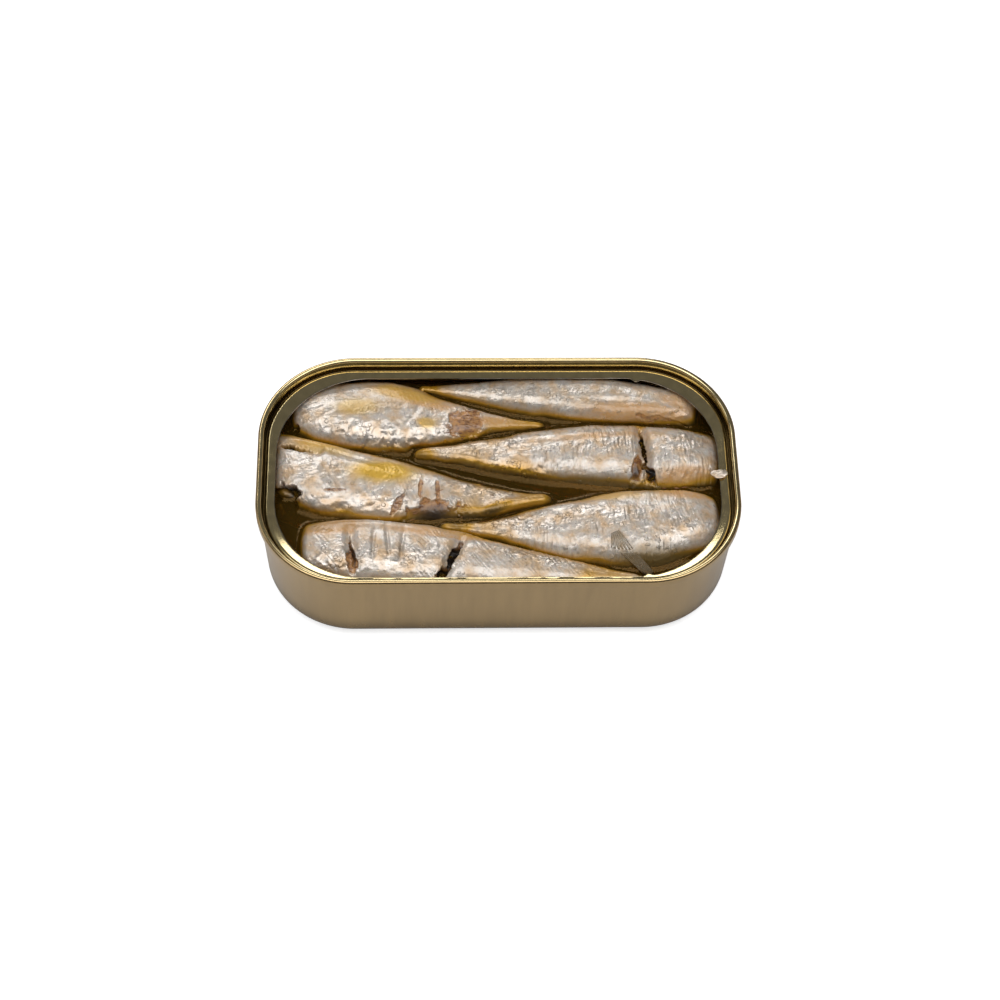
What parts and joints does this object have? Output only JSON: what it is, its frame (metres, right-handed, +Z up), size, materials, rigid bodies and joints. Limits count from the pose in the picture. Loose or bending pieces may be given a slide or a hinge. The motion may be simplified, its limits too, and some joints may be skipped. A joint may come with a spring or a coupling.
{
  "type": "sardine tin",
  "caption": "Opened rectangular tin with a rounded seam rim and torn lid ledge, filled with headless sardines in oil.",
  "frame": {"origin": "middle of the base, at the height it stands on", "axes": "+X along the tin, +Y across it towards its back, +Z up"},
  "size_m": [0.105, 0.0596, 0.0245],
  "materials": {
    "lacquered_tinplate": "gold lacquer over bright tinplate, satin gloss",
    "fish": "wet silver skin over cooked tan flesh",
    "oil": "clear amber oil"
  },
  "bodies": {
    "root": {"can_body": "lacquered_tinplate", "seam_ring": "lacquered_tinplate", "sardine_back_left": "fish", "sardine_back_right": "fish", "sardine_middle_left": "fish", "sardine_middle_right": "fish", "sardine_front_left": "fish", "sardine_front_right": "fish", "oil": "oil"}
  },
  "joints": []
}
